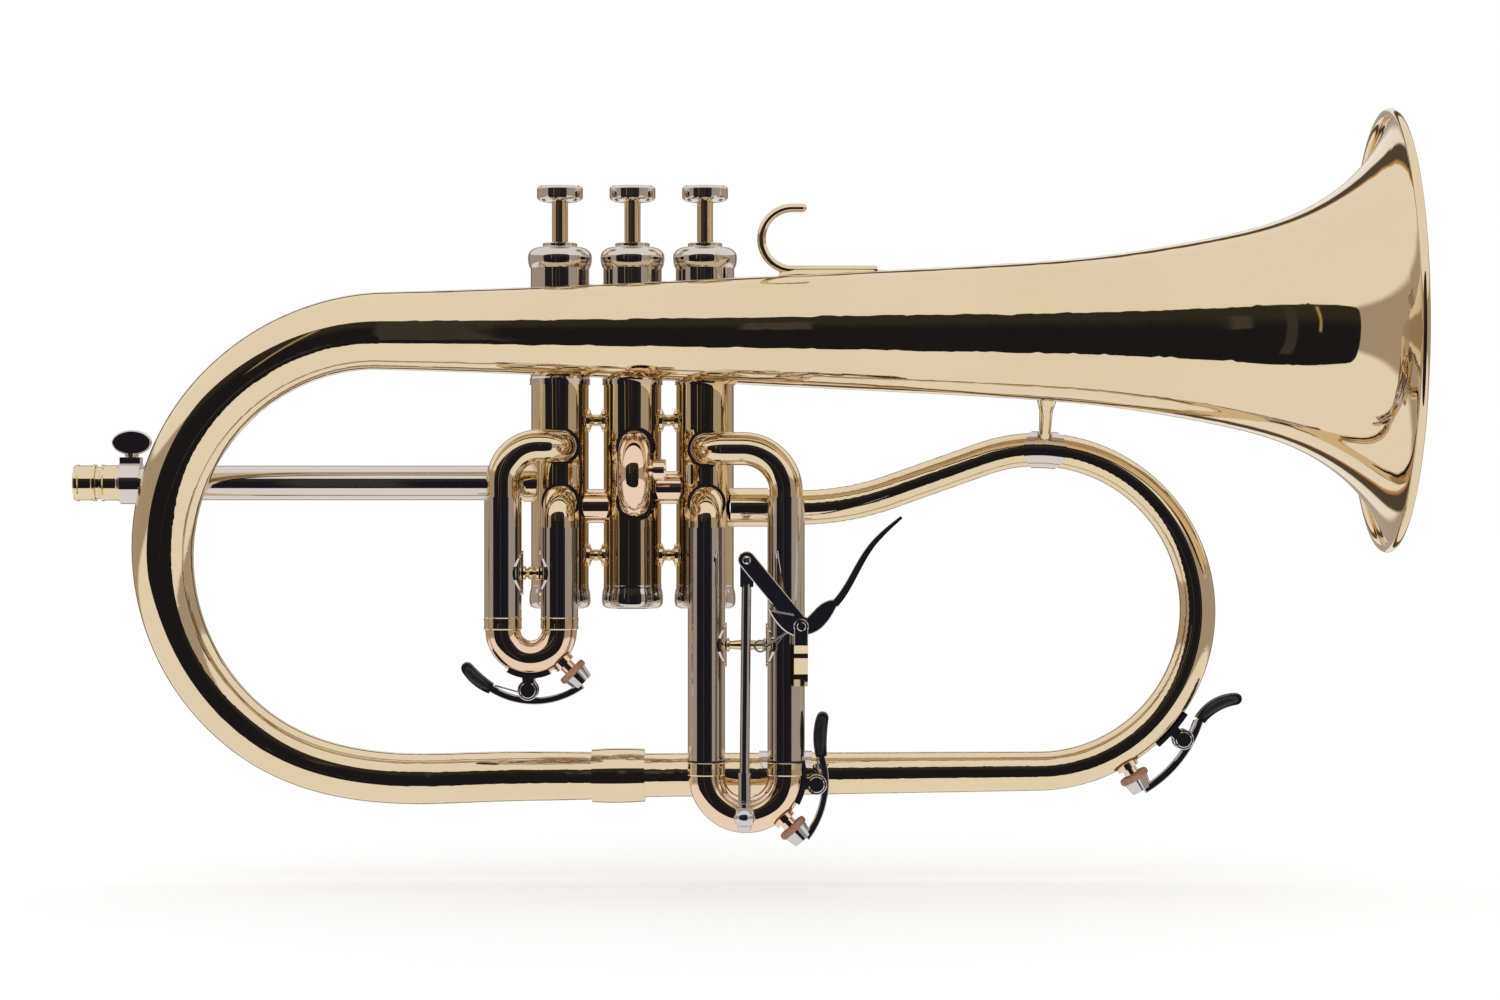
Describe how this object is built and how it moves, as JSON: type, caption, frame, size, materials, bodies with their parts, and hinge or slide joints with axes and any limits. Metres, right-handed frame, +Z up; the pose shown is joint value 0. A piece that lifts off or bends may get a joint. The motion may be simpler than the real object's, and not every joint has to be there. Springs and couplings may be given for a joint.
{
  "type": "flugelhorn",
  "caption": "Flugelhorn with a wide conical bell, piston valves, sprung slide trigger, tuning mouthpipe, water keys and pull slides.",
  "frame": {"origin": "centre of the mouthpiece receiver's mouth, on the mouthpipe's axis", "axes": "+X along the mouthpipe towards the bell, +Y to the player's left, +Z up along the valves"},
  "size_m": [0.4577, 0.1524, 0.2543],
  "materials": {
    "bell_brass": "clear lacquered yellow brass, mirror polished",
    "rose_brass": "clear lacquered rose brass, mirror polished",
    "nickel_silver": "polished nickel silver",
    "plated_steel": "plated keys, levers and screws",
    "monel": "lapped piston metal",
    "spring_steel": "drawn spring wire",
    "cork": "dense cork, buff cut",
    "felt": "pressed felt",
    "black_rubber": "soft black rubber, satin",
    "guide_plastic": "moulded guide plastic"
  },
  "bodies": {
    "frame": {"bell": "bell_brass", "rim_wire": "bell_brass", "bell_bow": "bell_brass", "bow_ferrule": "bell_brass", "main_branch": "bell_brass", "branch_sleeve": "bell_brass", "mouthpipe_sleeve": "nickel_silver", "clamp_collar": "nickel_silver", "finger_hook": "bell_brass", "brace_posts": "bell_brass", "brace_flanges": "nickel_silver", "casing_1": "bell_brass", "casing_2": "bell_brass", "casing_3": "bell_brass", "upper_casings": "nickel_silver", "top_caps": "nickel_silver", "bottom_caps": "nickel_silver", "valve_guides": "guide_plastic", "valve_spring_1": "spring_steel", "valve_spring_2": "spring_steel", "valve_spring_3": "spring_steel", "cap_felts": "felt", "crossover_tubes": "rose_brass", "slide_1_elbows": "bell_brass", "slide_3_elbows": "bell_brass", "slide_1_outer_tubes": "nickel_silver", "slide_2_outer_tubes": "bell_brass", "slide_3_outer_tubes": "nickel_silver", "key_saddle_main": "plated_steel", "trigger_bracket": "plated_steel", "trigger_foot": "bell_brass"},
    "valve_1": {"piston_1": "monel", "valve_stem_1": "bell_brass", "finger_button_1": "nickel_silver"},
    "valve_2": {"piston_2": "monel", "valve_stem_2": "bell_brass", "finger_button_2": "nickel_silver"},
    "valve_3": {"piston_3": "monel", "valve_stem_3": "bell_brass", "finger_button_3": "nickel_silver"},
    "tuning_pipe": {"mouthpipe": "nickel_silver", "mouthpiece_receiver": "bell_brass"},
    "clamp_screw": {"thumb_screw": "nickel_silver"},
    "first_slide": {"slide_1_inner_tubes": "bell_brass", "slide_1_bow": "rose_brass", "key_saddle_1": "plated_steel"},
    "second_slide": {"slide_2_inner_tubes": "bell_brass", "slide_2_bow": "rose_brass"},
    "third_slide": {"slide_3_inner_tubes": "bell_brass", "slide_3_bow": "rose_brass", "slide_3_bumpers": "black_rubber", "key_saddle_3": "plated_steel"},
    "water_key_main": {"key_lever_main": "plated_steel", "key_pad_main": "cork"},
    "water_key_1": {"key_lever_1": "plated_steel", "key_pad_1": "cork"},
    "water_key_3": {"key_lever_3": "plated_steel", "key_pad_3": "cork"},
    "trigger": {"trigger_lever": "plated_steel"},
    "link_rod": {"trigger_rod": "plated_steel"}
  },
  "joints": [
    {"name": "valve_1_press", "type": "slide", "parent": "frame", "child": "valve_1", "axis": [0, 0, -1], "range_m": [0, 0.014], "stiffness_N_per_m": 110, "springref_m": -0.02, "deforming": ["valve_spring_1"]},
    {"name": "valve_2_press", "type": "slide", "parent": "frame", "child": "valve_2", "axis": [0, 0, -1], "range_m": [0, 0.014], "stiffness_N_per_m": 110, "springref_m": -0.02, "deforming": ["valve_spring_2"]},
    {"name": "valve_3_press", "type": "slide", "parent": "frame", "child": "valve_3", "axis": [0, 0, -1], "range_m": [0, 0.014], "stiffness_N_per_m": 110, "springref_m": -0.02, "deforming": ["valve_spring_3"]},
    {"name": "mouthpipe_tune", "type": "slide", "parent": "frame", "child": "tuning_pipe", "axis": [-1, 0, 0], "range_m": [0, 0.02]},
    {"name": "thumb_screw_turn", "type": "hinge", "parent": "frame", "child": "clamp_screw", "pos_m": [0.02, 0, 0.009], "axis": [0, 0, 1], "range_deg": [0, 360]},
    {"name": "slide_1_pull", "type": "slide", "parent": "frame", "child": "first_slide", "axis": [0, 0, -1], "range_m": [0, 0.03]},
    {"name": "slide_2_pull", "type": "slide", "parent": "frame", "child": "second_slide", "axis": [0, -1, 0], "range_m": [0, 0.008]},
    {"name": "slide_3_throw", "type": "slide", "parent": "frame", "child": "third_slide", "axis": [0, 0, -1], "range_m": [0, 0.012], "stiffness_N_per_m": 150, "springref_m": -0.02},
    {"name": "trigger_turn", "type": "hinge", "parent": "frame", "child": "trigger", "pos_m": [0.2549, -0.032, -0.0493], "axis": [0, -1, 0], "range_deg": [0, 31]},
    {"name": "link_rod_tilt", "type": "hinge", "parent": "third_slide", "child": "link_rod", "pos_m": [0.2354, -0.0292, -0.1151], "axis": [0, -1, 0], "range_deg": [0, 7]},
    {"name": "water_key_main_open", "type": "hinge", "parent": "frame", "child": "water_key_main", "pos_m": [0.38936, 0, -0.09003], "axis": [0, -1, 0], "range_deg": [0, 16], "stiffness_Nm_per_rad": 0.02, "springref_deg": -34.38},
    {"name": "water_key_1_open", "type": "hinge", "parent": "first_slide", "child": "water_key_1", "pos_m": [0.16052, -0.019, -0.07176], "axis": [0, 1, 0], "range_deg": [0, 16], "stiffness_Nm_per_rad": 0.02, "springref_deg": -34.38},
    {"name": "water_key_3_open", "type": "hinge", "parent": "third_slide", "child": "water_key_3", "pos_m": [0.26028, -0.019, -0.10438], "axis": [0, -1, 0], "range_deg": [0, 8], "stiffness_Nm_per_rad": 0.02, "springref_deg": -34.38}
  ],
  "couplings": [
    {"joint": "trigger_turn", "follows": "slide_3_throw", "rad_per_m": 44.16},
    {"joint": "link_rod_tilt", "follows": "slide_3_throw", "rad_per_m": 8.99}
  ]
}
